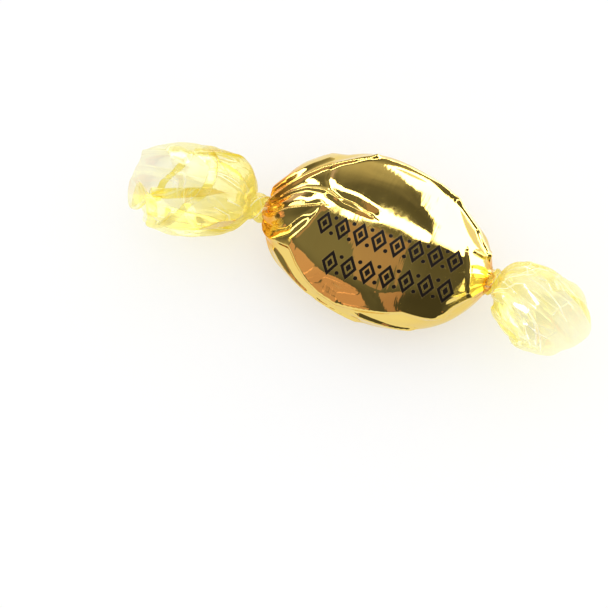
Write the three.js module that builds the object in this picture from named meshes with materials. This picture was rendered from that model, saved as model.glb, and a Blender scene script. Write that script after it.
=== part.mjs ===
// A boiled caramel in a twist wrapper, lying on its broad side.
// One film goes round the sweet as a tube. Its metallised middle is drawn over the sweet in flat facets and
// gathers into pleats at both ends. Each end is wrung into a short rope, and beyond that the film opens again
// into a ruffled bell. The closed part is solid; each bell is a thin wall round an open mouth.
// Millimetres. +X runs along the sweet and +Z is up. The origin is under the middle of the whole, on the surface
// that it lies on.
import * as THREE from 'three';

const { clamp, degToRad, lerp, smoothstep } = THREE.MathUtils;
const TURN = 2 * Math.PI;

// The pillow round the sweet.
const HALF_LENGTH = 15; // from the middle to where the pillow's outline would close
const HALF_WIDTH = 11.1;
const HALF_HEIGHT = 6.15;
const REST_CUT = 0.4; // how far the underside is pressed in where it lies
const AXIS_HEIGHT = HALF_HEIGHT - REST_CUT;
const SECTION_POWER = 2.5; // 2 is an ellipse; more has flatter faces and rounder shoulders
const PROFILE_POWER = 2.6; // the same, for the height along the sweet
const TAPER = 0.55; // 0.5 closes the outline in a round end; more in a more pointed one
const BOW = 0.8; // how far the sweet sits behind the line from neck to neck
const SLANT = 1.1; // how much more so on the left than on the right

// Rings of flat facets in the drawn film. Tilt is above the middle, and cut is how far a facet goes in.
const FACET_RINGS = [
  { tilt: 48, count: 9, cut: 0.7, start: 0.35 },
  { tilt: 10, count: 9, cut: 0.5, start: 0.1 },
  { tilt: -38, count: 9, cut: 0.7, start: 0.7 },
];
const CREASE_POWER = 70; // how sharp the lines between facets are

// Single flat panels: the place whose direction each takes, and how far it cuts in.
// A place is [distance from the middle, direction round the axis]: 0 is back, 90 is up, 180 is front.
const PANELS = [
  { at: [-9, 30], cut: 0.2 },
  { at: [-10, 158], cut: 0.7 },
  { at: [-2, 164], cut: 0.4 },
  { at: [7, 160], cut: 0.5 },
  { at: [11, 30], cut: 0.6 },
  { at: [2, 24], cut: 0.4 },
];

// Single folds through places, each a crest, or a valley if its height is negative. The first width is on the side
// of smaller angles and the second on that of larger ones.
const FOLDS = [
  { through: [[-14.6, 72], [-13, 52], [-9.7, 38], [-3.6, 24]], height: 0.42, widths: [1, 2.4] },
  { through: [[-14.2, 50], [-12.6, 34], [-8.6, 16]], height: 0.45, widths: [1, 1.5] },
  { through: [[-3.6, 24], [2, 28], [8, 24]], height: 0.22, widths: [1.2, 2] },
  { through: [[8, 24], [11.5, 24], [14, 42]], height: 0.4, widths: [1.2, 1] },
  { through: [[-14.6, 132], [-11.7, 111], [-8, 97]], height: 0.5, widths: [1, 1.3] },
  { through: [[-14.4, 158], [-11.4, 136], [-8.4, 100]], height: -0.3, widths: [1.3, 1.3] },
  { through: [[-14.6, 172], [-12, 158], [-10, 153], [-5, 163], [-1.2, 170], [6, 166], [11, 172]], height: 0.42, widths: [1.8, 1] },
  { through: [[10.4, 158], [12.4, 146], [14.6, 132]], height: 0.4, widths: [1, 1.4] },
  { through: [[11.2, 70], [12.8, 84], [14.6, 98]], height: 0.34, widths: [1, 1] },
];
const FOLD_STEPS = 4;

// Pleats and necks.
const NECK_START = 15.3;
const LEFT_NECK = 1.8; // length of each rope
const RIGHT_NECK = 0.9;
const NECK_RADIUS = 1.6;
const NECK_BLEND = 4; // how tightly the pillow turns into the neck
const PLEAT_START = 8; // how far from the middle the pleats begin
const PLEAT_COUNT = 9;
const PLEAT_DEPTH = 0.1; // as a share of the local radius
const LEFT_PLEATS = 0.5; // the pleats are fainter on the left
const RIGHT_PLEATS = 0.8;
const STRAND_COUNT = 5;
const STRAND_DEPTH = 0.16;
const PLEAT_TURN = degToRad(25); // how far the wringing turns the pleats, and then the rope
const ROPE_TURN = degToRad(80);

// The bells of film beyond the necks. Pitch is up from level and yaw is towards the front.
const FILM = 0.45; // wall, much thicker than the real film
const RUFFLE_START = 5; // distance over which ruffles grow to their full depth
const RUFFLE_LAG = 0.35; // share of a ruffle's depth by which its edge falls back, as the film is cut straight
const FLOOR_GAP = 0.25; // least height of a bell
const LEFT_BELL = {
  side: -1, neck: LEFT_NECK, length: 15.1, radius: 6, opening: 2.2, slow: 0.6, slowAt: degToRad(175), bend: 2.5,
  pitch: degToRad(34.5), yaw: degToRad(26.5), width: 1.06, height: 0.99, draw: 0.2, drawFrom: 0.55,
  lobes: 6, ruffle: 0.2, phase: 0.4,
};
const RIGHT_BELL = {
  side: 1, neck: RIGHT_NECK, length: 14.6, radius: 5.3, opening: 2.2, slow: 0, slowAt: 0, bend: 3.9,
  pitch: degToRad(45), yaw: degToRad(49), width: 1.07, height: 0.96, draw: 0.2, drawFrom: 0.6,
  lobes: 7, ruffle: 0.22, phase: 1.3,
};

// Mesh density.
const AROUND = 76;
const BODY_RINGS = 28;
const NECK_RINGS = 5;
const BELL_RINGS = 9;
const BEND_STEPS = 8; // steps of a bell's curved axis between two rings

// A wave of film: rounded where sharp is low and a zigzag of flat panels where it nears 1.
const fold = (angle, sharp = 0.94) => Math.asin(sharp * Math.sin(angle)) / Math.asin(sharp);

// Distance from the axis to the pillow at x, in the direction phi round the axis, without facets.
function roundRadius(x, phi) {
  const along = Math.min(Math.abs(x) / HALF_LENGTH, 0.9999);
  const width = HALF_WIDTH * (1 - along ** 2) ** TAPER;
  const height = HALF_HEIGHT * (1 - along ** PROFILE_POWER) ** TAPER;
  const across = Math.abs(Math.cos(phi) / width) ** SECTION_POWER;
  const up = Math.abs(Math.sin(phi) / height) ** SECTION_POWER;
  return (across + up) ** (-1 / SECTION_POWER);
}

function roundPoint(x, phi) {
  const radius = roundRadius(x, phi);
  return new THREE.Vector3(x, radius * Math.cos(phi), radius * Math.sin(phi));
}

// How far the pillow reaches in a direction.
function reach(normal) {
  let most = 0;
  for (let x = -15.6; x <= 15.6; x += 0.2) {
    for (let phi = 0; phi < TURN; phi += TURN / 180) {
      const radius = roundRadius(x, phi);
      const here = normal.x * x + radius * (normal.y * Math.cos(phi) + normal.z * Math.sin(phi));
      most = Math.max(most, here);
    }
  }
  return most;
}

// The planes that cut the facets, as { normal, distance }.
function facetPlanes() {
  const planes = [];
  for (const { tilt, count, cut, start } of FACET_RINGS) {
    const rise = degToRad(tilt);
    for (let i = 0; i < count; i++) {
      const azimuth = (TURN * (i + start + 0.22 * Math.sin(2.4 * i + 5 * start))) / count;
      const normal = new THREE.Vector3(
        (Math.cos(rise) * Math.cos(azimuth)) / HALF_LENGTH,
        (Math.cos(rise) * Math.sin(azimuth)) / HALF_WIDTH,
        Math.sin(rise) / HALF_HEIGHT,
      ).normalize();
      const depth = cut * Math.abs(Math.sin(azimuth)) * (0.6 + 0.5 * Math.sin(1.7 * i + start));
      planes.push({ normal, distance: reach(normal) - depth });
    }
  }
  for (const { at: [x, degrees], cut } of PANELS) {
    const phi = degToRad(degrees);
    const around = roundPoint(x, phi + 0.02).sub(roundPoint(x, phi - 0.02));
    const along = roundPoint(x + 0.02, phi).sub(roundPoint(x - 0.02, phi));
    const normal = around.cross(along).normalize();
    planes.push({ normal, distance: reach(normal) - cut });
  }
  return planes;
}
const PLANES = facetPlanes();

// Distance from the axis to the faceted pillow.
function pillowRadius(x, phi) {
  const cos = Math.cos(phi);
  const sin = Math.sin(phi);
  let sum = roundRadius(x, phi) ** -CREASE_POWER;
  for (const { normal, distance } of PLANES) {
    const facing = normal.y * cos + normal.z * sin;
    const clear = distance - normal.x * x;
    if (facing > 0.02 && clear > 0) sum += (clear / facing) ** -CREASE_POWER;
  }
  return sum ** (-1 / CREASE_POWER);
}

// Distance from the axis to the film before it is folded: the pillow, running into a neck at each end.
function filmRadius(x, phi) {
  const pillow = Math.abs(x) < HALF_LENGTH - 0.01 ? pillowRadius(x, phi) : 0;
  return (pillow ** NECK_BLEND + NECK_RADIUS ** NECK_BLEND) ** (1 / NECK_BLEND);
}

const bowAt = (x) => (BOW - (SLANT * x) / NECK_START) * Math.max(1 - (x / NECK_START) ** 2, 0);

// The point of the unfolded film at x and phi, measured from the axis.
function filmPoint(x, phi) {
  const radius = filmRadius(x, phi);
  return new THREE.Vector3(x, radius * Math.cos(phi) + bowAt(x), radius * Math.sin(phi));
}

// The outward direction of the unfolded film.
function filmNormal(x, phi) {
  const around = filmPoint(x, phi + 0.02).sub(filmPoint(x, phi - 0.02));
  const along = filmPoint(x + 0.02, phi).sub(filmPoint(x - 0.02, phi));
  return around.cross(along).normalize();
}

// Each fold as a chain of short straight pieces on the film, each with the way across it towards larger angles.
const FOLD_LINES = FOLDS.map(({ through }) => {
  const corners = [];
  for (let i = 0; i + 1 < through.length; i++) {
    for (let j = 0; j < FOLD_STEPS; j++) corners.push([0, 1].map((n) => lerp(through[i][n], through[i + 1][n], j / FOLD_STEPS)));
  }
  corners.push(through.at(-1));
  return corners.slice(1).map((corner, i) => {
    const phi = degToRad(corners[i][1]);
    const piece = new THREE.Line3(filmPoint(corners[i][0], phi), filmPoint(corner[0], degToRad(corner[1])));
    const larger = piece.delta(new THREE.Vector3()).cross(filmNormal(corners[i][0], phi));
    return { piece, larger };
  });
});

// How far the single folds lift the film at a point.
function foldLift(point) {
  const nearest = new THREE.Vector3();
  return FOLDS.reduce((lift, { height, widths }, i) => {
    let least = Infinity;
    let width = widths[0];
    for (const { piece, larger } of FOLD_LINES[i]) {
      piece.closestPointToPoint(point, true, nearest);
      const distance = nearest.distanceTo(point);
      if (distance < least) {
        least = distance;
        width = widths[nearest.sub(point).dot(larger) < 0 ? 1 : 0];
      }
    }
    const near = Math.max(1 - least / width, 0);
    return lift + height * near * near * (1.6 - 0.6 * near);
  }, 0);
}

// Direction round the axis that a place in the film comes from, once the wringing is undone.
function unwrung(x, phi) {
  const side = Math.sign(x);
  const ropeLength = side < 0 ? LEFT_NECK : RIGHT_NECK;
  const pleats = PLEAT_TURN * smoothstep(Math.abs(x), PLEAT_START, NECK_START) ** 2;
  const rope = ROPE_TURN * clamp((Math.abs(x) - NECK_START) / ropeLength, 0, 1);
  return phi + side * (pleats + rope) + 0.18 * Math.sin(2 * phi + side);
}

// How far the pleats and the strands of the rope lift the film.
function pleatLift(x, phi) {
  const side = Math.sign(x);
  const distance = Math.abs(x);
  const inNeck = smoothstep(distance, NECK_START - 0.8, NECK_START + 0.4);
  const gathered = smoothstep(distance, PLEAT_START, NECK_START - 1) * (1 - inNeck);
  const uneven = (side < 0 ? LEFT_PLEATS : RIGHT_PLEATS) * (0.65 + 0.35 * Math.sin(3 * phi + 2 * side));
  const pleat = PLEAT_DEPTH * gathered * uneven * fold(PLEAT_COUNT * unwrung(x, phi) + side);
  const strand = STRAND_DEPTH * inNeck * fold(STRAND_COUNT * unwrung(x, phi));
  return filmRadius(x, phi) * (pleat + strand);
}

// One ring of the wrapper round the sweet or a neck. The underside is pressed flat.
function wrapRing(x) {
  const ring = [];
  for (let k = 0; k < AROUND; k++) {
    const phi = (TURN * k) / AROUND;
    const point = filmPoint(x, phi);
    point.addScaledVector(filmNormal(x, phi), pleatLift(x, phi) + foldLift(point));
    point.z = Math.max(point.z + AXIS_HEIGHT, 0);
    ring.push(point);
  }
  return ring;
}

// How far a bell's wall stands out at phi: near 0 along the broad ridges and -1 in the narrow valleys.
function ruffleAt(bell, phi) {
  const warped = phi + 0.22 * Math.sin(2 * phi + bell.phase) + 0.1 * Math.sin(3 * phi - bell.phase);
  const valley = (0.5 + 0.5 * fold(bell.lobes * warped + bell.phase, 0.97)) ** 1.6;
  const crinkle = fold((2 * bell.lobes + 1) * warped + 2 * bell.phase);
  return 0.12 * crinkle - valley * (0.75 + 0.25 * Math.sin(2 * phi + 1.7 * bell.phase));
}

// Where a bell's axis is after some distance, and which way it goes there.
function bellFrame(bell, travelled) {
  const centre = new THREE.Vector3(bell.side * (NECK_START + bell.neck), 0, AXIS_HEIGHT);
  const ahead = new THREE.Vector3();
  const steps = BELL_RINGS * BEND_STEPS;
  for (let i = 0; i <= steps; i++) {
    const bend = 1 - Math.exp((-travelled * i) / steps / bell.bend);
    const level = Math.cos(bell.pitch * bend);
    ahead.set(
      bell.side * level * Math.cos(bell.yaw * bend), -level * Math.sin(bell.yaw * bend), Math.sin(bell.pitch * bend),
    );
    if (i) centre.addScaledVector(ahead, travelled / steps);
  }
  const up = new THREE.Vector3(0, 0, 1).addScaledVector(ahead, -ahead.z).normalize();
  const across = new THREE.Vector3().crossVectors(ahead, up).multiplyScalar(-bell.side);
  return { centre, ahead, up, across };
}

// One outer ring of a bell at a distance along it.
function bellRing(bell, travelled) {
  const { centre, ahead, up, across } = bellFrame(bell, travelled);
  const towardsRim = Math.max((travelled / bell.length - bell.drawFrom) / (1 - bell.drawFrom), 0);
  const drawn = 1 - bell.draw * towardsRim ** 2; // the film draws in towards the rim
  const ruffled = bell.ruffle * smoothstep(travelled, 0, RUFFLE_START) * (1 - 0.55 * towardsRim);
  const ring = [];
  for (let k = 0; k < AROUND; k++) {
    const phi = (TURN * k) / AROUND;
    const open = 1 - Math.exp(-travelled / (bell.opening * (1 + bell.slow * Math.cos(phi - bell.slowAt))));
    const plain = lerp(NECK_RADIUS, bell.radius, open) * drawn;
    const strand = STRAND_DEPTH * (1 - open) * fold(STRAND_COUNT * unwrung(bell.side * HALF_LENGTH * 2, phi));
    const radius = plain * (1 + strand + ruffled * ruffleAt(bell, phi));
    const lag = RUFFLE_LAG * (radius - plain) * open;
    const point = centre.clone()
      .addScaledVector(across, radius * Math.cos(phi) * lerp(1, bell.width, open))
      .addScaledVector(up, radius * Math.sin(phi) * lerp(1, bell.height, open))
      .addScaledVector(ahead, -lag);
    point.z = Math.max(point.z, FLOOR_GAP);
    ring.push(point);
  }
  return ring;
}

// The outer rings of a bell, from the neck to the rim, closer together near the neck.
function bellRings(bell) {
  const rings = [];
  for (let j = 0; j <= BELL_RINGS; j++) {
    const share = j / BELL_RINGS;
    rings.push(bellRing(bell, bell.length * share * (0.6 + 0.4 * share)));
  }
  return rings;
}

// The inner rings of a bell, from the rim to the neck: its outer rings moved in by the film's thickness.
function mouthRings(bell, outer) {
  const rings = [];
  for (let j = BELL_RINGS; j >= 1; j--) {
    const before = outer[j - 1];
    const after = outer[Math.min(j + 1, BELL_RINGS)];
    const ring = outer[j].map((point, k) => {
      const around = outer[j][(k + 1) % AROUND].clone().sub(outer[j][(k + AROUND - 1) % AROUND]);
      const along = after[k].clone().sub(before[k]).multiplyScalar(bell.side);
      return point.clone().addScaledVector(around.cross(along).normalize(), -FILM);
    });
    rings.push(ring);
  }
  return rings;
}

const middleOf = (ring) => ring.reduce((sum, point) => sum.add(point), new THREE.Vector3()).divideScalar(ring.length);

// The rings round the necks and the sweet, from left to right, between the two bells.
function wrapRings() {
  const stations = [];
  for (let j = NECK_RINGS - 1; j >= 0; j--) stations.push(-NECK_START - (LEFT_NECK * j) / NECK_RINGS);
  for (let j = 1; j < BODY_RINGS; j++) stations.push(-NECK_START * Math.cos((Math.PI * j) / BODY_RINGS));
  for (let j = 0; j < NECK_RINGS; j++) stations.push(NECK_START + (RIGHT_NECK * j) / NECK_RINGS);
  return stations.map(wrapRing);
}

// One closed surface through all the rings, from the bottom of the left bell's mouth to that of the right one.
function skin() {
  const leftOuter = bellRings(LEFT_BELL);
  const rightOuter = bellRings(RIGHT_BELL);
  const leftInner = mouthRings(LEFT_BELL, leftOuter).reverse();
  const rightInner = mouthRings(RIGHT_BELL, rightOuter);
  const rings = [...leftInner, ...leftOuter.reverse(), ...wrapRings(), ...rightOuter, ...rightInner];
  const points = [middleOf(leftInner[0]), ...rings.flat(), middleOf(rightInner.at(-1))];
  const end = points.length - 1;
  const at = (j, k) => 1 + j * AROUND + (k % AROUND);
  const triangles = [];
  for (let k = 0; k < AROUND; k++) {
    triangles.push(0, at(0, k + 1), at(0, k));
    triangles.push(end, at(rings.length - 1, k), at(rings.length - 1, k + 1));
    for (let j = 0; j + 1 < rings.length; j++) {
      const [a, b, c, d] = [at(j, k), at(j, k + 1), at(j + 1, k), at(j + 1, k + 1)];
      const inMouth = j < leftInner.length || j >= rings.length - rightInner.length - 1;
      // A mouth's inner side is split along the same lines as the outer side behind it.
      if (inMouth) triangles.push(a, b, d, a, d, c);
      else triangles.push(a, b, c, b, d, c);
    }
  }
  const geometry = new THREE.BufferGeometry().setFromPoints(points);
  geometry.setIndex(triangles);
  return geometry;
}

const shape = skin();
shape.computeBoundingBox();
const middle = shape.boundingBox.getCenter(new THREE.Vector3());
shape.translate(-middle.x, -middle.y, 0);
shape.computeVertexNormals();

const gold = new THREE.MeshStandardMaterial({ color: 0xe3bf5c, roughness: 0.12, metalness: 1 });
const candy = new THREE.Mesh(shape, gold);
candy.name = 'wrapped_candy';

const part = new THREE.Group();
part.add(candy);
export default part;
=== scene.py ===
"""A boiled caramel in a twist wrapper: gold metallised film over the sweet, and a ruffled bell of clear film
past the rope at each end.

Lengths are in millimetres until a mesh is made. x runs along the sweet, measured from its middle. Directions
round the axis are angles: 0 is the back, a quarter turn is up and half a turn is the front. Where the ends
differ, -1 stands for the left one and 1 for the right one.
"""

import bpy
import numpy as np
from mathutils import Matrix, Vector

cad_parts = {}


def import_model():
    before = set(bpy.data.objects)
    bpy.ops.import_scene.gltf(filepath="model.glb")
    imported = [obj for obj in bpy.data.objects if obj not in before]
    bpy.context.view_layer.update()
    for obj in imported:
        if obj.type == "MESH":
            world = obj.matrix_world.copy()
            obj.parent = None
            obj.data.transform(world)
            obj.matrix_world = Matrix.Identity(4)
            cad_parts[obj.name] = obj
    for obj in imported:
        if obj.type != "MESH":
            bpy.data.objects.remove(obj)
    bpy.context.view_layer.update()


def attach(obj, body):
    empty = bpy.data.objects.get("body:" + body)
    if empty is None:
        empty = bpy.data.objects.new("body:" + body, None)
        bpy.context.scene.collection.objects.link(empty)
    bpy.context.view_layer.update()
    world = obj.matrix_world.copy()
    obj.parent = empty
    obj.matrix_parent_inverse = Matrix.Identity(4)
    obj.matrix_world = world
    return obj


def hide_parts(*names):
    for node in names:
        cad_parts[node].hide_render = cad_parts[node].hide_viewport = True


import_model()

MM = 0.001
TURN = 2 * np.pi
MIDDLE = np.array([1.4175, -0.7993, 0.0])  # the sweet's middle in the frame
STEP = 0.02  # for slopes, in millimetres along the axis and in radians round it

# The pillow round the sweet, as in the CAD: half sizes, its axis over the floor, the powers that round its
# section and its profile, and how far its axis bows back and slants.
HALF_LENGTH = 15.0
HALF_WIDTH = 11.1
HALF_HEIGHT = 6.15
AXIS_HEIGHT = 5.75
SECTION_POWER = 2.5
PROFILE_POWER = 2.6
TAPER = 0.55
BOW = 0.8
SLANT = 1.1
# Rings of facets: tilt in degrees, count, how far they cut in, and where the first is as a share of their
# spacing.
FACET_RINGS = [(48, 9, 0.7, 0.35), (10, 9, 0.5, 0.1), (-38, 9, 0.7, 0.7)]
# Flat panels: the place (x, degrees) whose direction each takes, and how far it cuts in.
PANELS = [(-9, 30, 0.2), (-10, 158, 0.7), (-2, 164, 0.4), (7, 160, 0.5), (11, 30, 0.6), (2, 24, 0.4)]
CREASE_POWER = 40  # the higher, the sharper the facets meet
LEAST_FACING = 0.02  # a facet that faces a direction less than this doesn't cut there
UNCUT = 1e3  # a radius that no facet cuts
REACH_X = np.arange(-15.6, 15.61, 0.2)[:, None]  # the places that show how far the pillow reaches
REACH_PHI = np.radians(np.arange(0, 360, 2))[None, :]

# The necks, where the film is gathered in pleats, and the ropes, where it is wrung.
NECK_START = 15.3
NECK_RADIUS = 1.6
NECK_BLEND = 4  # the higher, the sharper the pillow meets the neck
PLEAT_START = 8
PLEAT_COUNT = 9
PLEAT_DEPTH = 0.1  # as a share of the radius, as all depths of pleats and strands are
PLEAT_SHARE = {-1: 0.5, 1: 0.2}  # how deep the pleats are at each end
FINE_START = 11.5
FINE_COUNT = 19
FINE_DEPTH = 0.035
FINEST_DEPTH = 0.01
FINE_SHARE = {-1: 1, 1: 0.4}
STRAND_COUNT = 5
STRAND_DEPTH = 0.16
PLEAT_TURN = np.radians(25)
ROPE_TURN = np.radians(80)
ROPE_LENGTH = {-1: 1.8, 1: 0.9}
UNEVEN_TURN = 0.18  # radians

# Folds in the gold film, each through places (x, degrees). A fold has a height (a valley's is negative) and
# two widths: on the side of smaller angles and on that of larger ones. A narrow side is the edge of a folded
# layer.
FOLDS = [
    ([(-14.6, 80), (-13, 60), (-11.4, 48), (-9.7, 40), (-7.9, 35), (-6, 31), (-3.6, 23)], 0.4, 1.4, 0.6),
    ([(-14.2, 46), (-12.8, 34), (-11.2, 27), (-9.4, 21)], 0.25, 0.4, 0.9),
    ([(-14.4, 26), (-12.8, 15), (-11, 9), (-9.2, 7)], 0.95, 2.6, 2.8),
    ([(-3.6, 23), (0, 20), (4, 20), (8, 22)], 0.3, 0.9, 1.2),
    ([(8, 24), (11.5, 24), (14, 42)], 0.4, 1.2, 0.5),
    ([(-14.4, 92), (-12.9, 74), (-10.6, 68), (-7.9, 74), (-6, 84)], 0.22, 0.7, 0.5),
    ([(-8.6, 42), (-8.4, 56), (-7.6, 70), (-6.3, 79), (-3.9, 82), (-1.3, 90)], -0.15, 1.6, 0.35),
    ([(-7.6, 78), (-5.2, 87), (-3, 90), (-1.3, 90)], 0.12, 0.4, 0.6),
    ([(-14.6, 132), (-11.7, 111), (-8, 97)], 0.5, 0.5, 1.3),
    ([(-14.4, 158), (-11.4, 136), (-10, 114), (-8.4, 100)], -0.3, 1.3, 1.3),
    ([(-7.8, 102), (-8.7, 127), (-10, 146)], 0.12, 0.4, 0.5),
    ([(-14.6, 172), (-12, 158), (-10, 154), (-8.5, 163), (-6.6, 168), (-4.8, 173), (-2.3, 175), (0.2, 172),
      (3, 168), (6.1, 165), (11, 172)], 0.46, 2.3, 0.8),
    ([(-12.2, 173), (-9, 178), (-6.5, 182)], 0.36, 0.5, 1.4),
    ([(-5, 183), (-2, 185), (0.5, 187)], 0.32, 0.5, 1.4),
    ([(1, 178), (4, 180), (7.5, 185)], 0.4, 0.6, 1.6),
    ([(11.0, 164), (12.6, 158), (14.6, 150)], 0.3, 0.6, 1.3),
    ([(11.6, 76), (12.3, 98), (12.8, 122), (13.4, 150)], 0.22, 1.2, 0.6),
    ([(12.4, 66), (13.4, 58), (14.0, 40), (14.0, 20)], 0.25, 0.6, 0.6),
]
FOLD_STEPS = 6  # straight pieces between two places of a fold
RIPPLE = 0.012  # slow, shallow unevenness of drawn film

# The gold film's mesh: points round it, rings along it, where it ends inside the rope, how evenly the rings
# are spaced (0 crowds them at the ends), and from where and how much it narrows so that the clear film covers
# its end.
WRAP_AROUND = 400
WRAP_ALONG = 226
WRAP_END = 15.5
WRAP_EVENNESS = 0.55
TUCK_START = 14.9
TUCK = 0.45

# The bells. Each has a length along its axis and opens to a radius over a distance, opening, which is longer
# by the share slow towards slow_at. Its axis turns up by pitch and to the front by yaw over the distance
# bend. width and height scale its section. It is drawn in by the share draw at the rim, from the share
# draw_from of its length on, and the rim falls back at wide_at and opposite. The ruffles are lobes in number,
# the share ruffle deep and shifted by phase.
BELLS = {
    -1: dict(length=15.1, radius=6.0, opening=2.2, slow=0.6, slow_at=175, bend=2.5, pitch=34.5, yaw=26.5,
             width=1.06, height=0.99, draw=0.2, draw_from=0.55, lobes=6, ruffle=0.2, phase=0.4, wide_at=60),
    1: dict(length=14.6, radius=5.3, opening=2.2, slow=0, slow_at=0, bend=3.9, pitch=45, yaw=49,
            width=1.07, height=0.96, draw=0.2, draw_from=0.6, lobes=7, ruffle=0.22, phase=1.3, wide_at=60),
}
BELL_AROUND = 512  # points round a bell's mesh
BELL_RINGS = 100
ROPE_RINGS = 18
PATH_STEPS = 90
CLEAR_START = 14.75  # where the clear film begins, over the gold
CLEARANCE = 0.05  # between the clear film and the gold
FLOOR_GAP = 0.25  # between the clear film and the floor
RUFFLE_START = 5  # where the ruffles are full
RUFFLE_LAG = 0.35  # how much the crest of a ruffle leans back
RUFFLE_EASE = 0.55  # how much of the ruffles is lost at the rim
CRINKLE_DEPTH = 0.012  # of the fine crinkle that fans out from the rope
RIM_START = 0.6  # the share of the length from which the rim's waves and fall set in
RIM_WAVES = [(5, 2, 0.8, 0.45), (11, 1, 0.94, 0.1)]  # count, shift, sharpness, depth
RIM_FALL = 1.3
CALM = 0.75  # how much of the single creases is lost towards the rim

# Pressed folds in the bells: direction, half width and drift from neck to rim, all in degrees, and lift.
PRESSED = {
    -1: [(20, 16, 40, 0.16), (82, 15, -30, 0.2), (150, 15, 30, 0.16), (190, 14, -20, 0.16),
         (250, 16, 30, 0.2), (310, 14, -30, 0.16)],
    1: [(15, 14, -30, 0.14), (62, 12, 10, 0.18), (160, 12, 8, 0.16), (192, 12, 16, 0.18),
        (238, 15, -30, 0.16)],
}
PRESSED_LIFT = 2.6  # makes each lift the height of its fold
# The pressed fold that runs round the left bell: middle of its place from neck to rim, how far it slants and
# towards which direction, half its width as a share of the bell's length, and its lift, which isn't scaled by
# PRESSED_LIFT.
CROSSING = (0.68, 0.24, 25, 0.09, 0.3)
# Across a pressed fold, in half widths from its middle: how steeply the film doubles back, where its edges
# are, how wide the painted highlight lines along them show, how far it lies double and how softly that ends.
PRESSED_DRAW = 2.9
PRESSED_EDGE = 0.388
PRESSED_HIGHLIGHT_WIDTH = 0.12
PRESSED_DOUBLE = 0.72
PRESSED_SOFT = 0.08

CREASES = 36  # single creases in each bell
CREASE_SEEDS = {-1: 11, 1: 23}
FLAT_RADIUS = 5.5  # of the bell, where its film is laid flat for the creases
DEEPEST_CREASE = 0.18
CREASE_HIGHLIGHT_HALF_WIDTH = 0.2  # half width of the painted highlight line along a crease
HIGHLIGHT_LINES_FROM = {-1: (1.5, 6.0), 1: (0.3, 2.5)}  # where single creases begin to show as painted highlight lines
ROPE_LAYERS = 3.6  # layers of film, for the tint: in the rope and at the rim
RIM_LAYERS = 0.42
THINNING = {-1: (7.2, 1.7), 1: (4.5, 1.0)}  # over which distance they thin out past the rope, and how late
DOUBLE = {-1: 0.9, 1: 0.3}  # how much more film there is in a pressed fold


def lerp(a, b, share):
    return a + (b - a) * share


def smooth(value, low, high):
    share = np.clip((value - low) / (high - low), 0, 1)
    return share * share * (3 - 2 * share)


def fold(angle, sharp=0.94):
    """A wave of film: rounded where sharp is low and a zigzag of flat panels where it nears 1."""
    return np.arcsin(sharp * np.sin(angle)) / np.arcsin(sharp)


def crest(height, distance, width):
    """Height near the line of a fold: steep at the line and soft at its width."""
    near = np.maximum(1 - distance / width, 0)
    return height * near * near * (1.6 - 0.6 * near)


def by_side(values, x):
    """The value of the end that x lies towards."""
    return np.where(x < 0, values[-1], values[1])


# ---------------------------------------------------------------- the gold film round the sweet
def round_radius(x, phi):
    """Distance from the axis to the round pillow."""
    along = np.minimum(np.abs(x) / HALF_LENGTH, 0.9999)
    width = HALF_WIDTH * (1 - along**2) ** TAPER
    height = HALF_HEIGHT * (1 - along**PROFILE_POWER) ** TAPER
    across = np.abs(np.cos(phi) / width) ** SECTION_POWER
    up = np.abs(np.sin(phi) / height) ** SECTION_POWER
    return (across + up) ** (-1 / SECTION_POWER)


def round_point(x, phi):
    return round_radius(x, phi) * np.array([0, np.cos(phi), np.sin(phi)]) + np.array([x, 0, 0])


def reach(normal):
    """How far the round pillow reaches along a direction."""
    radius = round_radius(REACH_X, REACH_PHI)
    across = radius * (normal[1] * np.cos(REACH_PHI) + normal[2] * np.sin(REACH_PHI))
    return (normal[0] * REACH_X + across).max()


def facet_planes():
    """Normal and distance of each plane that cuts the round pillow. The rings are unevenly spaced and cut."""
    planes = []
    for tilt, count, cut, start in FACET_RINGS:
        rise = np.radians(tilt)
        for i in range(count):
            azimuth = TURN * (i + start + 0.22 * np.sin(2.4 * i + 5 * start)) / count
            normal = np.array([
                np.cos(rise) * np.cos(azimuth) / HALF_LENGTH,
                np.cos(rise) * np.sin(azimuth) / HALF_WIDTH,
                np.sin(rise) / HALF_HEIGHT,
            ])
            normal /= np.linalg.norm(normal)
            depth = cut * abs(np.sin(azimuth)) * (0.6 + 0.5 * np.sin(1.7 * i + start))
            planes.append((normal, reach(normal) - depth))
    for x, degrees, cut in PANELS:
        phi = np.radians(degrees)
        around = round_point(x, phi + STEP) - round_point(x, phi - STEP)
        along = round_point(x + STEP, phi) - round_point(x - STEP, phi)
        normal = np.cross(around, along)
        normal /= np.linalg.norm(normal)
        planes.append((normal, reach(normal) - cut))
    return planes


PLANES = facet_planes()


def pillow_radius(x, phi):
    """The same once the facets cut it."""
    cos, sin = np.cos(phi), np.sin(phi)
    total = round_radius(x, phi) ** -CREASE_POWER
    for normal, distance in PLANES:
        facing = normal[1] * cos + normal[2] * sin
        clear = distance - normal[0] * x
        cuts = (facing > LEAST_FACING) & (clear > 0)
        radius = np.where(cuts, clear / np.maximum(facing, LEAST_FACING), UNCUT)
        total = total + np.where(cuts, radius**-CREASE_POWER, 0)
    return total ** (-1 / CREASE_POWER)


def film_radius(x, phi):
    """The same with the necks, which carry on as round rods past the pillow."""
    inside = np.abs(x) < HALF_LENGTH - 0.01
    pillow = np.where(inside, pillow_radius(np.where(inside, x, 0), phi), 0)
    return (pillow**NECK_BLEND + NECK_RADIUS**NECK_BLEND) ** (1 / NECK_BLEND)


def bow_at(x):
    return (BOW - SLANT * x / NECK_START) * np.maximum(1 - (x / NECK_START) ** 2, 0)


def film_point(x, phi):
    """A place on the plain film. Its height is from the axis."""
    radius = film_radius(x, phi)
    return np.stack([x + 0 * radius, radius * np.cos(phi) + bow_at(x), radius * np.sin(phi)], -1)


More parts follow.
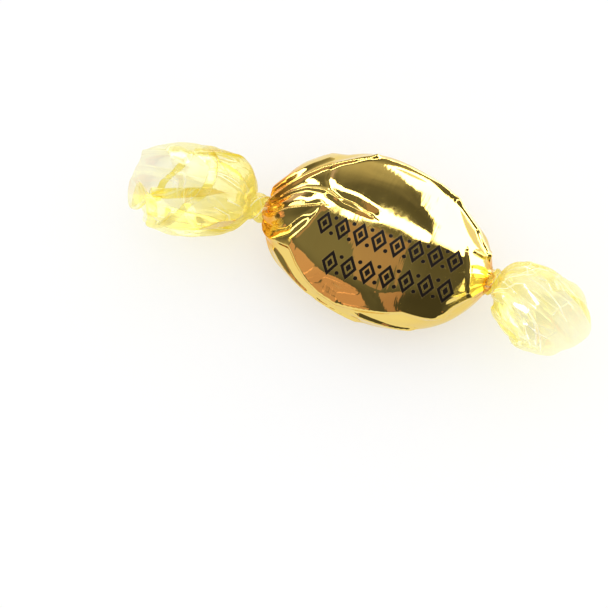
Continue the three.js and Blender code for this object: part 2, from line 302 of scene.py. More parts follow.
def film_normal(x, phi):
    around = film_point(x, phi + STEP) - film_point(x, phi - STEP)
    along = film_point(x + STEP, phi) - film_point(x - STEP, phi)
    normal = np.cross(around, along)
    return normal / np.linalg.norm(normal, axis=-1, keepdims=True)


def distance_to_chain(points, chain, normals):
    """Distance from points to a chain of straight pieces on the film, and whether they are on the side of its
    larger angles."""
    best = np.full(points.shape[:-1], 1e9)
    larger = np.zeros(points.shape[:-1], bool)
    for a, b, normal in zip(chain[:-1], chain[1:], normals):
        ab = b - a
        share = np.clip(((points - a) @ ab) / (ab @ ab), 0, 1)
        away = points - (a + share[..., None] * ab)
        distance = np.linalg.norm(away, axis=-1)
        side = away @ np.cross(ab, normal) > 0
        larger = np.where(distance < best, side, larger)
        best = np.minimum(best, distance)
    return best, larger


def fold_lift(points):
    lift = np.zeros(points.shape[:-1])
    for places, height, before, after in FOLDS:
        at = np.linspace(0, len(places) - 1, FOLD_STEPS * (len(places) - 1) + 1)
        x = np.interp(at, range(len(places)), [place[0] for place in places])
        phi = np.radians(np.interp(at, range(len(places)), [place[1] for place in places]))
        distance, larger = distance_to_chain(points, film_point(x, phi), film_normal(x, phi))
        lift += crest(height, distance, np.where(larger, after, before))
    return lift


def unwrung(x, phi):
    """Direction round the axis that a place in the film comes from, once the wringing is undone."""
    side = np.sign(x)
    pleats = PLEAT_TURN * smooth(np.abs(x), PLEAT_START, NECK_START) ** 2
    rope = ROPE_TURN * np.clip((np.abs(x) - NECK_START) / by_side(ROPE_LENGTH, x), 0, 1)
    return phi + side * (pleats + rope) + UNEVEN_TURN * np.sin(2 * phi + side)


def pleat_lift(x, phi):
    """How far the pleats of the necks, broad and fine, and the strands of the ropes stand out of the film."""
    side = np.sign(x)
    distance = np.abs(x)
    turned = unwrung(x, phi)
    in_neck = smooth(distance, NECK_START - 0.8, NECK_START + 0.4)
    gathered = smooth(distance, PLEAT_START, NECK_START - 1) * (1 - in_neck)
    uneven = (0.65 + 0.35 * np.sin(3 * phi + 2 * side)) * by_side(PLEAT_SHARE, x)
    pleat = PLEAT_DEPTH * gathered * uneven * fold(PLEAT_COUNT * turned + side)
    late = smooth(distance, FINE_START, NECK_START - 0.3)
    uneven = 0.6 + 0.4 * np.sin(5 * phi + side)
    pleat += by_side(FINE_SHARE, x) * late * (1 - 0.6 * in_neck) * (
        FINE_DEPTH * fold(FINE_COUNT * turned + 2 * side + np.sin(2 * phi)) * uneven
        + FINEST_DEPTH * fold(2 * FINE_COUNT * turned + 1.3 * side)
    )
    strand = STRAND_DEPTH * in_neck * fold(STRAND_COUNT * turned)
    return film_radius(x, phi) * (pleat + strand)


def ripple(points):
    x, y, z = points[..., 0], points[..., 1], points[..., 2]
    a = np.sin(0.7 * x + 0.8 * y + 0.4) * np.sin(0.9 * y - 0.4 * x + 1.0)
    b = np.sin(1.3 * x - 0.9 * y + 0.8 * z + 2.0) * np.sin(1.2 * y + 0.7 * x)
    c = np.sin(2.6 * x + 1.1 * y) * np.sin(1.3 * y - 1.9 * x + 0.7 * z)
    return RIPPLE * (a + 0.4 * b + 0.1 * c)


def wrap_points(x, phi):
    points = film_point(x, phi)
    lift = pleat_lift(x, phi) + fold_lift(points) + ripple(points)
    points = points + film_normal(x, phi) * lift[..., None]
    points[..., 2] = np.maximum(points[..., 2] + AXIS_HEIGHT, 0)
    return points


def film_coordinates(x, phi):
    """x, and the arc from the line along the top towards the front, both on the plain round pillow."""
    plain = round_radius(x[:, None], phi[None, :])
    flat = np.stack([plain * np.cos(phi), plain * np.sin(phi)], -1)
    steps = np.linalg.norm(np.roll(flat, -1, axis=1) - flat, axis=-1)
    length = np.concatenate([np.zeros((len(x), 1)), np.cumsum(steps, axis=1)[:, :-1]], axis=1)
    arc = length - length[:, [len(phi) // 4]]
    return np.stack([np.broadcast_to(x[:, None], arc.shape), arc, np.zeros_like(arc)], -1)


# ---------------------------------------------------------------- the clear bells
def ruffle_at(bell, phi):
    """Unevenly spaced valleys of uneven depth, with a fine crinkle."""
    warped = phi + 0.22 * np.sin(2 * phi + bell["phase"]) + 0.1 * np.sin(3 * phi - bell["phase"])
    valley = (0.5 + 0.5 * fold(bell["lobes"] * warped + bell["phase"], 0.97)) ** 1.6
    crinkle = fold((2 * bell["lobes"] + 1) * warped + 2 * bell["phase"])
    return 0.03 * crinkle - valley * (0.75 + 0.25 * np.sin(2 * phi + 1.7 * bell["phase"]))


def bell_frame(side, travelled):
    """The middle of a bell at a distance along its bent axis, and the directions ahead, up and across."""
    bell = BELLS[side]
    centre = np.array([side * (NECK_START + ROPE_LENGTH[side]), 0, AXIS_HEIGHT], float)
    for i in range(PATH_STEPS + 1):
        bend = 1 - np.exp(-travelled * i / PATH_STEPS / bell["bend"])
        pitch, yaw = np.radians(bell["pitch"]) * bend, np.radians(bell["yaw"]) * bend
        ahead = np.array([side * np.cos(pitch) * np.cos(yaw), -np.cos(pitch) * np.sin(yaw), np.sin(pitch)])
        if i:
            centre = centre + ahead * travelled / PATH_STEPS
    up = np.array([0, 0, 1.0]) - ahead * ahead[2]
    up /= np.linalg.norm(up)
    across = np.cross(ahead, up) * -side
    return centre, ahead, up, across


def across_pressed(u, half, height):
    """Across a pressed fold, u from -1 to 1: how far its film is drawn over and lifted, the painted highlight
    lines along its edges, and where it lies double."""
    inside = np.abs(u) < 1
    drawn = np.where(inside, PRESSED_DRAW * half * np.sin(np.pi * u) / np.pi, 0)
    lift = np.where(inside, height * u * (1 - u * u), 0)
    edge = np.maximum(1 - np.abs(np.abs(u) - PRESSED_EDGE) / PRESSED_HIGHLIGHT_WIDTH, 0)
    double = smooth(PRESSED_DOUBLE - np.abs(u), 0, PRESSED_SOFT)
    return drawn, lift, edge, double


def pressed(side, theta, share):
    """Where film at theta goes round the axis once the pressed folds are in, how far it is drawn back along
    the axis and lifted, the painted highlight lines along the folds' edges, and where the film lies double."""
    phi = theta.copy()
    back, lift, edge, double = np.zeros((4, len(theta)))
    if side < 0:
        middle, slant, towards, half, height = CROSSING
        u = (share - middle + slant * np.cos(theta - np.radians(towards))) / half
        back, lift, edge, double = across_pressed(u, half * BELLS[side]["length"], height)
    grow = smooth(share, 0.02, 0.3)
    for at, half, drift, height in PRESSED[side]:
        middle = np.radians(at + drift * share)
        half = np.radians(half)
        u = (np.mod(theta - middle + np.pi, TURN) - np.pi) / half
        drawn, raised, folded, laid = across_pressed(u, half, height * PRESSED_LIFT)
        phi = phi - drawn * grow
        lift = lift + raised * grow
        edge = np.maximum(edge, grow * folded)
        double = np.maximum(double, grow * laid)
    return phi, back, lift, edge, double


def crease_lift(side, theta, travelled):
    """Sharp single creases on the film laid flat. Most fan out from the neck and one in four crosses."""
    random = np.random.default_rng(CREASE_SEEDS[side])
    length = BELLS[side]["length"]
    u, v = np.meshgrid(theta * FLAT_RADIUS, travelled, indexing="xy")
    around = TURN * FLAT_RADIUS
    lift = np.zeros(u.shape)
    edge = np.zeros(u.shape)
    for i in range(CREASES):
        u0 = random.uniform(0, around)
        crosses = i % 4 == 0
        v0 = random.uniform(3, 8) if crosses else random.uniform(0.8, 4)
        run = random.uniform(4, 8)
        if crosses:
            lean = random.uniform(0.9, 1.4) * random.choice((-1, 1))
        else:
            lean = random.uniform(-0.5, 0.5)
        height = random.uniform(0.06, DEEPEST_CREASE) * random.choice((-1, 1))
        width = random.uniform(0.45, 1.5)
        a = np.array([u0, v0])
        b = np.array([u0 + run * np.sin(lean), min(v0 + run * np.cos(lean), length)])
        ab = b - a
        du = np.mod(u - a[0] + around / 2, around) - around / 2
        dv = v - a[1]
        share = np.clip((du * ab[0] + dv * ab[1]) / (ab @ ab), 0, 1)
        distance = np.hypot(du - share * ab[0], dv - share * ab[1])
        lift += crest(height, distance, width)
        # edge is a painted highlight line along each crease, brighter for deeper creases.
        edge = np.maximum(edge, abs(height) / DEEPEST_CREASE * np.maximum(1 - distance / CREASE_HIGHLIGHT_HALF_WIDTH, 0))
    return lift, edge


def rope_rings(side, theta):
    """Rings of clear film from over the gold to the end of the rope, each with its layers and the painted
    highlight lines along its strands.
    """
    for x in side * np.linspace(CLEAR_START, NECK_START + ROPE_LENGTH[side], ROPE_RINGS)[:-1]:
        lift = pleat_lift(x, theta) + CLEARANCE
        ring = film_point(x, theta) + film_normal(x, theta) * lift[:, None]
        ring[:, 2] += AXIS_HEIGHT
        # A painted highlight line along the crest of each strand.
        edge = np.maximum(fold(STRAND_COUNT * unwrung(x, theta)), 0) ** 6
        yield ring, np.full(len(theta), ROPE_LAYERS), edge


def bell_rings(side, theta):
    """The same from the end of the rope to the rim, closer together near the rope."""
    bell = BELLS[side]
    shares = np.linspace(0, 1, BELL_RINGS + 1)
    stations = bell["length"] * shares * (0.6 + 0.4 * shares)
    creases, crease_highlights = crease_lift(side, theta, stations)
    turned = unwrung(side * HALF_LENGTH * 2, theta)
    late = 1 + bell["slow"] * np.cos(theta - np.radians(bell["slow_at"]))
    thinning, how_late = THINNING[side]
    for travelled, crease, crease_highlight in zip(stations, creases, crease_highlights):
        share = travelled / bell["length"]
        centre, ahead, up, across = bell_frame(side, travelled)
        opened = 1 - np.exp(-travelled / (bell["opening"] * late))
        towards_rim = max((share - bell["draw_from"]) / (1 - bell["draw_from"]), 0)
        plain = lerp(NECK_RADIUS, bell["radius"], opened) * (1 - bell["draw"] * towards_rim**2)
        phi, back, lift, edge, double = pressed(side, theta, share)
        calm = 1 - CALM * smooth(share, 0.5, 0.85)

        strand = (STRAND_DEPTH + 0.03 / NECK_RADIUS) * (1 - opened) * fold(STRAND_COUNT * turned)
        ruffle = bell["ruffle"] * smooth(travelled, 0, RUFFLE_START) * ruffle_at(bell, theta)
        ruffle = ruffle * (1 - RUFFLE_EASE * towards_rim)
        crinkle = fold(29 * theta + 3 * np.sin(2 * theta) + 2 * share)
        crinkle = CRINKLE_DEPTH * max(1 - 1.8 * share, 0) * crinkle * smooth(travelled, 0.5, 3)
        radius = plain * (1 + strand + ruffle + crinkle)
        radius = radius + CLEARANCE * (1 - opened)

        lag = RUFFLE_LAG * (radius - plain) * opened + back
        rim = smooth(share, RIM_START, 1)
        lag = lag + rim * sum(
            depth * fold(count * theta + shift * side, sharp) for count, shift, sharp, depth in RIM_WAVES)
        lag = lag + RIM_FALL * rim * np.cos(theta - np.radians(bell["wide_at"])) ** 2

        radius = radius + lift * smooth(travelled, 0.5, 4) + crease * smooth(travelled, 0.3, 2.5) * calm
        aside = radius * np.cos(phi) * lerp(1, bell["width"], opened)
        above = radius * np.sin(phi) * lerp(1, bell["height"], opened)
        ring = centre + across * aside[:, None] + up * above[:, None] - ahead * lag[:, None]
        ring[:, 2] = np.maximum(ring[:, 2], FLOOR_GAP)
        layers = lerp(RIM_LAYERS, ROPE_LAYERS, np.exp(-((travelled / thinning) ** how_late)))
        layers = layers * (1 + DOUBLE[side] * double)
        # The painted highlight lines along the pressed folds' edges and along single creases.
        single = crease_highlight * smooth(travelled, *HIGHLIGHT_LINES_FROM[side]) * calm
        yield ring, layers, np.maximum(edge, single)


# ---------------------------------------------------------------- materials
class Nodes:
    """Short names for adding and joining shader nodes."""

    def __init__(self, owner):
        owner.use_nodes = True
        self.tree = owner.node_tree
        self.tree.nodes.clear()

    def add(self, kind, inputs=None, **settings):
        """A node with its settings, and with its inputs set or joined."""
        node = self.tree.nodes.new(kind)
        for key, value in settings.items():
            setattr(node, key, value)
        for key, value in (inputs or {}).items():
            self.feed(node.inputs[key], value)
        return node

    def feed(self, socket, value):
        if isinstance(value, (int, float, tuple)):
            socket.default_value = value
        else:
            self.tree.links.new(value, socket)

    def math(self, operation, a, b=None, c=None):
        given = {i: value for i, value in enumerate((a, b, c)) if value is not None}
        return self.add("ShaderNodeMath", given, operation=operation).outputs[0]

    def squares(self, a, b):
        return self.math("ADD", self.math("POWER", a, 2.0), self.math("POWER", b, 2.0))

    def along(self, u, v, start, way):
        """How far u, v lies past a start in a way."""
        a = self.math("MULTIPLY_ADD", u, way[0], -start[0] * way[0])
        b = self.math("MULTIPLY_ADD", v, way[1], -start[1] * way[1])
        return self.math("ADD", a, b)

    def ramp(self, value, low, high):
        """0 at low and below, 1 at high and above, smooth between."""
        given = {"Value": value, "From Min": low, "From Max": high}
        return self.add("ShaderNodeMapRange", given, interpolation_type="SMOOTHSTEP").outputs[0]

    def mix(self, share, a, b):
        return self.add("ShaderNodeMix", {0: share, 6: a, 7: b}, data_type="RGBA").outputs[2]

    def noise(self, vector, scale, detail=2.0, roughness=0.5):
        given = {"Vector": vector, "Scale": scale, "Detail": detail, "Roughness": roughness}
        return self.add("ShaderNodeTexNoise", given).outputs["Fac"]

    def attribute(self, name, output="Fac"):
        return self.add("ShaderNodeAttribute", attribute_name=name).outputs[output]

    def place(self, kind="Object"):
        return self.add("ShaderNodeTexCoord").outputs[kind]

    def split(self, vector):
        return self.add("ShaderNodeSeparateXYZ", {0: vector}).outputs

    def bump(self, height, strength, distance, **normal):
        given = {"Height": height, "Strength": strength, "Distance": distance, **normal}
        return self.add("ShaderNodeBump", given).outputs[0]

    def shader(self, kind, inputs):
        return self.add(kind, inputs).outputs[0]

    def mix_shader(self, share, a, b):
        return self.shader("ShaderNodeMixShader", {0: share, 1: a, 2: b})


GOLD = (0.87, 0.67, 0.19, 1)
GOLD_DEEP = (0.88, 0.40, 0.05, 1)
DEEP_FROM = {-1: (-11.6, -13.8), 1: (13.8, 14.8)}  # where the gold starts to deepen, and where it is deep
DEEP_SHARE = 0.95  # of the deep gold there, in flecks
CLOUD_SHARE = 0.2  # of the deep gold all over, in soft clouds
GOLD_ROUGHNESS = 0.045
SMUDGE_ROUGHNESS = 0.06  # added in smudges
INK_ROUGHNESS = 0.3  # added in the print
INK_SHEEN = 0.42  # taken from the specular level in the print
INK = (0.012, 0.008, 0.006, 1)
DRAWN = (1.0, 0.16, 1.0)  # stretches the faint wrinkles across the film
WRINKLE_HEIGHT = 0.000022  # metres, as bump distances are
SMUDGE_HEIGHT = 0.00002

# Rows of the print: the line along a row's middle as arc = c0 + c1 x + c2 x^2, where its first and its last
# motif are, their number, and half the height of a lozenge.
ROWS = [
    dict(line=(2.95, -0.067, -0.011), first=-6.6, last=10.5, count=8, half=1.7),
    dict(line=(7.5, -0.129, -0.0088), first=-4.3, last=10.6, count=7, half=1.7),
]
LOZENGE = 0.44  # half the length of a lozenge, as a share of the distance between motifs
OUTLINE = 0.80  # of a lozenge, as a share of its size
OUTLINE_HALF = (0.25, 0.20)  # where the outline starts and where it is full, on either side of that
CORE = (0.42, 0.34)
DOT_AT = 1.1  # how far above and below the line the dots are, between motifs
DOT = (0.09, 0.07)  # where a dot starts and where it is full, in square millimetres

LAYER_TINT = (0.976, 0.936, 0.60)  # the share of red, green and blue that passes one layer of clear film
# The soft white of the film's own haze, which also carries painted sheen and painted highlight lines.
HAZE_AND_SHEEN_WHITE = (1.0, 0.99, 0.82, 1)
GLOSS = (0.97, 1, 0.95, 1)
GLOSS_SHARE = 0.8  # scales how much the clear film mirrors
GLOSS_MOST = 0.24
# How the clear film changes with its haze, at the edges of folds, where it is painted with highlight lines,
# and where it is seen at a slant, where its whitening is painted sheen: how much it gains in full, and what
# it has without.
HAZE_TINT = (0.8, 0.3)
HIGHLIGHT_LINE_TINT = (-0.9, 1.0)
SLANT_TINT = (1.2, 0.7)
SLANT_SHEEN_WHITE = (0.18, 0.05)
HIGHLIGHT_LINE_WHITE = 0.35
HAZE_ROUGHNESS = (0.08, 0.06)
GRAIN_HEIGHT = 0.00003


def print_mask(n, x, arc):
    """1 inside the print's lozenges and dots, from the film coordinates."""
    total = None
    for row in ROWS:
        c0, c1, c2 = row["line"]
        pitch = (row["last"] - row["first"]) / (row["count"] - 1)
        up = n.math("SUBTRACT", arc, n.math("MULTIPLY_ADD", n.math("MULTIPLY_ADD", x, c2, c1), x, c0))
        cell = n.math("DIVIDE", n.math("SUBTRACT", x, row["first"]), pitch)

        index = n.math("ROUND", cell)
        aside = n.math("MULTIPLY", n.math("SUBTRACT", cell, index), pitch)
        aside = n.math("ABSOLUTE", n.math("DIVIDE", aside, LOZENGE * pitch))
        lozenge = n.math("ADD", aside, n.math("ABSOLUTE", n.math("DIVIDE", up, row["half"])))
        outline = n.ramp(n.math("ABSOLUTE", n.math("SUBTRACT", lozenge, OUTLINE)), *OUTLINE_HALF)
        motif = n.math("MAXIMUM", outline, n.ramp(lozenge, *CORE))
        motif = n.math("MULTIPLY", motif, n.math("LESS_THAN", index, row["count"] - 0.5))
        motif = n.math("MULTIPLY", motif, n.math("GREATER_THAN", index, -0.5))

        between = n.math("SUBTRACT", n.math("FLOOR", cell), -0.5)
        aside = n.math("MULTIPLY", n.math("SUBTRACT", cell, between), pitch)
        dot = n.squares(aside, n.math("SUBTRACT", n.math("ABSOLUTE", up), DOT_AT))
        dot = n.math("MULTIPLY", n.ramp(dot, *DOT), n.math("LESS_THAN", between, row["count"] - 1.0))
        dot = n.math("MULTIPLY", dot, n.math("GREATER_THAN", between, 0.0))

        both = n.math("MAXIMUM", motif, dot)
        total = both if total is None else n.math("MAXIMUM", total, both)
    return total


def gold_material():
    material = bpy.data.materials.new("gold_film")
    n = Nodes(material)
    film = n.attribute("film", "Vector")
    place = n.place()
    x, arc, _ = n.split(film)
    mask = print_mask(n, x, arc)

    gathered = n.math("MAXIMUM", n.ramp(x, *DEEP_FROM[-1]), n.ramp(x, *DEEP_FROM[1]))
    deep = n.math("MULTIPLY", gathered, n.ramp(n.noise(place, 330.0), 0.25, 0.5))
    cloud = n.noise(place, 180.0, 3.0)
    deep = n.math("MULTIPLY_ADD", cloud, CLOUD_SHARE, n.math("MULTIPLY", deep, DEEP_SHARE))
    gold = n.mix(deep, GOLD, GOLD_DEEP)

    smudge = n.noise(place, 420.0, 4.0, 0.6)
    roughness = n.math("MULTIPLY_ADD", n.ramp(smudge, 0.45, 0.75), SMUDGE_ROUGHNESS, GOLD_ROUGHNESS)
    drawn = n.add("ShaderNodeVectorMath", {0: film, 1: DRAWN}, operation="MULTIPLY").outputs[0]
    wrinkles = n.bump(n.noise(drawn, 1.1), 1.0, WRINKLE_HEIGHT)
    fine = n.math("MULTIPLY_ADD", n.noise(place, 1500.0), 0.3, smudge)
    shader = n.shader("ShaderNodeBsdfPrincipled", {
        "Base Color": n.mix(mask, gold, INK),
        "Metallic": n.math("MULTIPLY_ADD", mask, -1.0, 1.0),
        "Specular IOR Level": n.math("MULTIPLY_ADD", mask, -INK_SHEEN, 0.5),
        "Roughness": n.math("MULTIPLY_ADD", mask, INK_ROUGHNESS, roughness),
        "Normal": n.bump(fine, 0.10, SMUDGE_HEIGHT, Normal=wrinkles),
    })
    n.add("ShaderNodeOutputMaterial", {"Surface": shader})
    return material


def clear_material():
    material = bpy.data.materials.new("clear_film")
    n = Nodes(material)
    place = n.place()
    haze = n.noise(place, 260.0, 3.0)
    # slant whitens the film with painted sheen where it is seen at a slant.
    slant = n.add("ShaderNodeLayerWeight", {"Blend": 0.35}).outputs["Facing"]
    # edge marks painted highlight lines along fold and crease edges: less tint and more milky white there.
    edge = n.ramp(n.attribute("edge"), 0.1, 0.8)
    bump = n.bump(n.noise(place, 900.0, 3.0), 0.2, GRAIN_HEIGHT)

    amount = n.math("MULTIPLY", n.attribute("layers"), n.math("MULTIPLY_ADD", haze, *HAZE_TINT))
    amount = n.math("MULTIPLY", amount, n.math("MULTIPLY_ADD", edge, *HIGHLIGHT_LINE_TINT))
    amount = n.math("MULTIPLY", amount, n.math("MULTIPLY_ADD", slant, *SLANT_TINT))
    passed = {i: n.math("POWER", share, amount) for i, share in enumerate(LAYER_TINT)}
    tint = n.add("ShaderNodeCombineColor", passed).outputs[0]
    through = n.shader("ShaderNodeBsdfTransparent", {"Color": tint})

    soft = n.mix_shader(0.5, n.shader("ShaderNodeBsdfTranslucent", {"Color": HAZE_AND_SHEEN_WHITE}),
                        n.shader("ShaderNodeBsdfDiffuse", {"Color": HAZE_AND_SHEEN_WHITE}))
    # How much soft white shows: a little haze, painted sheen at a slant and painted highlight lines at edges.
    haze_and_painted_light = n.math("MULTIPLY_ADD", edge, HIGHLIGHT_LINE_WHITE, n.math("MULTIPLY_ADD", slant, *SLANT_SHEEN_WHITE))
    through_haze_and_painted_light = n.mix_shader(haze_and_painted_light, through, soft)

    gloss = n.shader("ShaderNodeBsdfGlossy", {
        "Color": GLOSS,
        "Roughness": n.math("MULTIPLY_ADD", haze, *HAZE_ROUGHNESS),
        "Normal": bump,
    })
    fresnel = n.add("ShaderNodeFresnel", {"IOR": 1.5, "Normal": bump}).outputs[0]
    mirrored = n.math("MINIMUM", n.math("MULTIPLY", fresnel, GLOSS_SHARE), GLOSS_MOST)
    n.add("ShaderNodeOutputMaterial", {"Surface": n.mix_shader(mirrored, through_haze_and_painted_light, gloss)})
    return material


# ---------------------------------------------------------------- pieces
def mesh_piece(name, rings, attributes, material, closed_ends=False):
    """A piece from rings of points, in millimetres from the sweet's middle, and attributes per point."""
    n_rings, n_around = rings.shape[:2]
    points = ((rings.reshape(-1, 3) + MIDDLE) * MM).tolist()
    j, k = np.meshgrid(np.arange(n_rings - 1), np.arange(n_around), indexing="ij")
    a = j * n_around + k
    b = j * n_around + (k + 1) % n_around
    quads = np.stack([a, b, b + n_around, a + n_around], -1).reshape(-1, 4)
    faces = [tuple(q) for q in quads.tolist()]
    values = {key: value.reshape(n_rings * n_around, -1).tolist() for key, value in attributes.items()}
    if closed_ends:
        for ring, flip in ((0, True), (n_rings - 1, False)):
            centre = len(points)
            start = ring * n_around
            points.append(np.mean(points[start:start + n_around], axis=0).tolist())
            for value in values.values():
                value.append(value[start])
            for i in range(n_around):
                u, v = start + i, start + (i + 1) % n_around
                faces.append((centre, v, u) if flip else (centre, u, v))
    mesh = bpy.data.meshes.new(name)
    mesh.from_pydata(points, [], faces)
    for key, value in values.items():
        kind, field = ("FLOAT", "value") if len(value[0]) == 1 else ("FLOAT_VECTOR", "vector")
        layer = mesh.attributes.new(key, kind, "POINT")
        layer.data.foreach_set(field, np.array(value, np.float32).ravel())
    mesh.polygons.foreach_set("use_smooth", [True] * len(mesh.polygons))
    mesh.materials.append(material)
    mesh.update()
    piece = bpy.data.objects.new(name, mesh)
    bpy.context.scene.collection.objects.link(piece)
    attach(piece, "root")
    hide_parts("wrapped_candy")
    return piece


def gold_wrap():
    share = np.linspace(0, 1, WRAP_ALONG)
    x = lerp(-WRAP_END * np.cos(np.pi * share), WRAP_END * (2 * share - 1), WRAP_EVENNESS)
    phi = TURN * np.arange(WRAP_AROUND) / WRAP_AROUND
    points = wrap_points(x[:, None], phi[None, :])
    rows = np.abs(x) > TUCK_START
    axis = points[rows] * np.array([1, 0, 0]) + np.array([0, 0, AXIS_HEIGHT])
    tuck = TUCK * smooth(np.abs(x[rows]), TUCK_START, WRAP_END)[:, None, None]
    points[rows] = axis + (points[rows] - axis) * (1 - tuck)
    film = film_coordinates(x, phi)
    piece = mesh_piece("gold_wrap", points, {"film": film}, gold_material(), closed_ends=True)
    return piece


def clear_end(side, material):
    theta = TURN * np.arange(BELL_AROUND) / BELL_AROUND
    # The rings run towards larger x, so that the faces look outwards.
    made = [*rope_rings(side, theta), *bell_rings(side, theta)][::side]
    rings, layers, edges = (np.array(values) for values in zip(*made))
    name = "clear_end_left" if side < 0 else "clear_end_right"
    # edge carries the painted highlight lines along folds, creases and strands.
    piece = mesh_piece(name, rings, {"layers": layers, "edge": edges}, material)
    return piece


CLEAR = clear_material()
gold_wrap()
clear_end(-1, CLEAR)
RIGHT_END = bpy.data.collections.new("right_end")
RIGHT_END.objects.link(clear_end(1, CLEAR))

# ---------------------------------------------------------------- floor, light and camera
FLOOR_HALF = 0.45  # metres
FLOOR_SHADES = (0.96, 0.96, 0.965, 1), (0.98, 0.98, 0.975, 1)
FLOOR_GLOW = 0.45  # the share of the floor's brightness that is its own
WHITE = (1, 1, 1, 1)


def floor():
    mesh = bpy.data.meshes.new("floor")
    corners = [(x * FLOOR_HALF, y * FLOOR_HALF, 0) for x, y in ((-1, -1), (1, -1), (1, 1), (-1, 1))]
    mesh.from_pydata(corners, [], [(0, 1, 2, 3)])
    material = bpy.data.materials.new("floor")
    n = Nodes(material)
    lit = n.shader("ShaderNodeBsdfDiffuse", {"Color": n.mix(n.noise(n.place(), 60.0, 3.0), *FLOOR_SHADES)})
    glow = n.shader("ShaderNodeEmission", {"Color": WHITE})
    n.add("ShaderNodeOutputMaterial", {"Surface": n.mix_shader(FLOOR_GLOW, lit, glow)})
    mesh.materials.append(material)
    piece = bpy.data.objects.new("floor", mesh)
    bpy.context.scene.collection.objects.link(piece)
    return piece


UNLIT = bpy.data.collections.new("unlit")
UNLIT.objects.link(floor())
UNLIT.collection_objects[0].light_linking.link_state = "EXCLUDE"
CANDY = Vector((MIDDLE[0], MIDDLE[1], AXIS_HEIGHT)) * MM
LIGHT_DISTANCE = 0.6  # metres
LIGHT_POWER = 4  # watts of an area light for each unit of radiance and square metre
WARM = (1.0, 0.50, 0.42)


def area_light(name, centre, across, up, radiance, colour):
    """A rectangle of light. centre is from the sweet's middle; across and up are its whole sides."""
    data = bpy.data.lights.new(name, "AREA")
    data.shape = "RECTANGLE"
    data.size, data.size_y = across.length, up.length
    x = across.normalized()
    z = x.cross(up).normalized()
    if z.dot(-centre) > 0:
        z = -z
    y = z.cross(x)
    matrix = Matrix((x, y, z)).transposed().to_4x4()
    matrix.translation = CANDY + centre
    light = bpy.data.objects.new(name, data)
    light.matrix_world = matrix
    data.color = colour
    data.energy = radiance * LIGHT_POWER * data.size * data.size_y
    light.visible_camera = False
    light.light_linking.receiver_collection = UNLIT
    bpy.context.scene.collection.objects.link(light)
    return light


def toward(zenith, azimuth):
    """Unit direction from degrees below straight up and degrees from +X towards +Y."""
    zenith, azimuth = np.radians(zenith), np.radians(azimuth)
    return Vector((np.sin(zenith) * np.cos(azimuth), np.sin(zenith) * np.sin(azimuth), np.cos(zenith)))


def strip_light(name, start, end, width, radiance, colour=(1, 1, 1)):
    """A strip of light between two directions (zenith, azimuth); width in degrees."""
    a, b = toward(*start) * LIGHT_DISTANCE, toward(*end) * LIGHT_DISTANCE
    centre = (a + b) / 2
    up = b - a
    across = up.cross(centre).normalized() * LIGHT_DISTANCE * np.radians(width)
    return area_light(name, centre, across, up, radiance, colour)


def strip_chain(name, places, width, radiance, colour=(1, 1, 1)):
    """Strips of light end to end through places given as degrees right of and behind straight up."""
    directions = [(np.hypot(x, y), np.degrees(np.arctan2(y, x))) for x, y in places]
    for i, (start, end) in enumerate(zip(directions[:-1], directions[1:])):
        strip_light(f"{name}_{i}", start, end, width, radiance, colour)


strip_chain("band", [(-12, 26), (15, 26)], 6, 4.5)
strip_chain("sliver", [(-58, 44), (-44, 33), (-28, 29), (-12, 26)], 8, 4.5)
strip_chain("left_band", [(-40, 22), (-58, 12), (-80, -2), (-100, -10)], 9, 2.5)
strip_chain("warm_broad", [(-60, -36), (-48, -43), (-36, -60), (-27, -74), (-24, -86)], 12.5, 0.42, WARM)
strip_chain("warm_middle", [(-7, 21), (-6, -36)], 17, 0.21, WARM)
strip_chain("warm_side", [(6, -40), (18, -60), (28, -75)], 9, 0.30, WARM)
# A highlight on the right bell alone.
strip_light("glint", (74, 160), (89, 160), 24, 20).light_linking.receiver_collection = RIGHT_END

# The room that the film mirrors. Each patch has a middle in degrees right of and behind straight up, half
# sizes in degrees, a lean in degrees, the share of it that is soft edge, and a colour.
ROOM = (0.10, 0.097, 0.088, 1)
PATCHES = [
    ((-30, -10), (75, 60), 0, 1.0, (0.21, 0.205, 0.185)),
    ((45, -60), (65, 50), 0, 0.8, (0.06, 0.058, 0.05)),
    ((-28, 92), (62, 62), 15, 0.95, (0.62, 0.58, 0.50)),
    ((-10, 118), (90, 26), 0, 0.5, (0.62, 0.48, 0.50)),
    ((-70, 62), (26, 34), 20, 0.5, (0.62, 0.50, 0.66)),
    ((66, 84), (34, 22), -35, 0.4, (0.20, 0.10, 0.04)),
    ((-84, 12), (28, 11), -4, 0.5, (0.95, 0.42, 0.06)),
    ((-92, -38), (34, 30), 0, 0.5, (0.80, 0.72, 0.52)),
    ((-58, -64), (16, 18), 10, 0.4, (0.12, 0.115, 0.10)),
    ((112, 2), (26, 24), 0, 0.4, (0.85, 0.48, 0.20)),
    ((0, -122), (150, 16), 0, 0.6, (0.80, 0.76, 0.66)),
    ((22, 94), (35, 32), 0, 0.12, (5.0, 5.0, 5.0)),
    ((74, 12), (20, 22), 0, 0.2, (2.2, 2.2, 2.2)),
]
# The big soft light: the half planes that bound it, each as a point on its edge and the way in, in the same
# degrees.
SOFTBOX = [((16, 45), (1, 0)), ((30, 27), (-0.06, 1)), ((74, 18), (-0.75, 0.66)), ((60, 100), (-0.5, -1))]
SOFTBOX_LIGHT = (5.0, 5.0, 5.0, 1)
SOFTBOX_EDGE = 2.5  # half the width of its soft edge, in degrees
UNEVEN = 12.0  # how far the edges of it all wander, in degrees
BELOW = (0.95, 0.95, 0.94, 1)  # what lies under the horizon
HORIZON = (-0.02, -0.08)  # heights of the directions where that starts and where it is full
WORLD_STRENGTH = 1.06


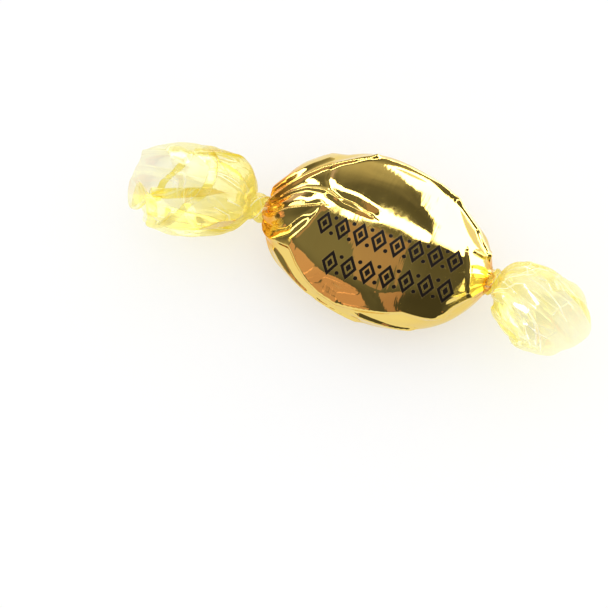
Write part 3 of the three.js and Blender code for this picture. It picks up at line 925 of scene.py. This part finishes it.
def world():
    """Plain white light for all but mirror rays, which see the room."""
    made = bpy.data.worlds.new("studio")
    bpy.context.scene.world = made
    n = Nodes(made)
    made.cycles.sampling_method = "NONE"
    place = n.place("Generated")
    x, y, z = n.split(place)
    level = n.math("MAXIMUM", n.math("SQRT", n.squares(x, y)), 1e-4)
    down = n.math("DIVIDE", n.math("MULTIPLY", n.math("ARCCOSINE", z), 180 / np.pi), level)
    shift = n.math("MULTIPLY_ADD", n.noise(place, 5.0), UNEVEN, -UNEVEN / 2)
    u = n.math("ADD", n.math("MULTIPLY", x, down), shift)
    v = n.math("SUBTRACT", n.math("MULTIPLY", y, down), shift)
    room = ROOM
    for middle, (half_u, half_v), lean, edge, colour in PATCHES:
        cos, sin = np.cos(np.radians(lean)), np.sin(np.radians(lean))
        a = n.along(u, v, middle, (cos / half_u, sin / half_u))
        b = n.along(u, v, middle, (-sin / half_v, cos / half_v))
        room = n.mix(n.ramp(n.math("SQRT", n.squares(a, b)), 1.0, 1.0 - edge), room, (*colour, 1))
    soft = 1.0
    for start, way in SOFTBOX:
        inside = n.along(u, v, start, way / np.hypot(*way))
        soft = n.math("MULTIPLY", soft, n.ramp(inside, -SOFTBOX_EDGE, SOFTBOX_EDGE))
    room = n.mix(soft, room, SOFTBOX_LIGHT)
    room = n.mix(n.ramp(z, *HORIZON), room, BELOW)
    mirrored = n.add("ShaderNodeLightPath").outputs["Is Glossy Ray"]
    given = {"Color": n.mix(mirrored, WHITE, room), "Strength": WORLD_STRENGTH}
    n.add("ShaderNodeOutputWorld", {"Surface": n.shader("ShaderNodeBackground", given)})


# The photo's angle. The sweet's middle lies right of and above the middle of the picture, in millimetres.
CAMERA_AZIMUTH = np.radians(19.6)
CAMERA_ELEVATION = np.radians(65.0)
CAMERA_OFFSET = (9.46, 7.48)
CAMERA_DISTANCE = 0.4  # metres


def camera():
    cos, sin = np.cos(CAMERA_AZIMUTH), np.sin(CAMERA_AZIMUTH)
    rise, fall = np.sin(CAMERA_ELEVATION), np.cos(CAMERA_ELEVATION)
    right = Vector((cos, sin, 0))
    up = Vector((-sin * rise, cos * rise, fall))
    back = right.cross(up)
    data = bpy.data.cameras.new("camera")
    data.lens = 185
    data.sensor_width = 36
    data.clip_start = 0.01  # metres
    made = bpy.data.objects.new("camera", data)
    matrix = Matrix((right, up, back)).transposed().to_4x4()
    aim = CANDY - (CAMERA_OFFSET[0] * right + CAMERA_OFFSET[1] * up) * MM
    matrix.translation = aim + CAMERA_DISTANCE * back
    made.matrix_world = matrix
    bpy.context.scene.collection.objects.link(made)
    bpy.context.scene.camera = made


world()
camera()
scene = bpy.context.scene
scene.view_settings.view_transform = "Standard"
scene.cycles.transparent_max_bounces = 32  # the bells are many layers of clear film deep

bpy.context.view_layer.update()
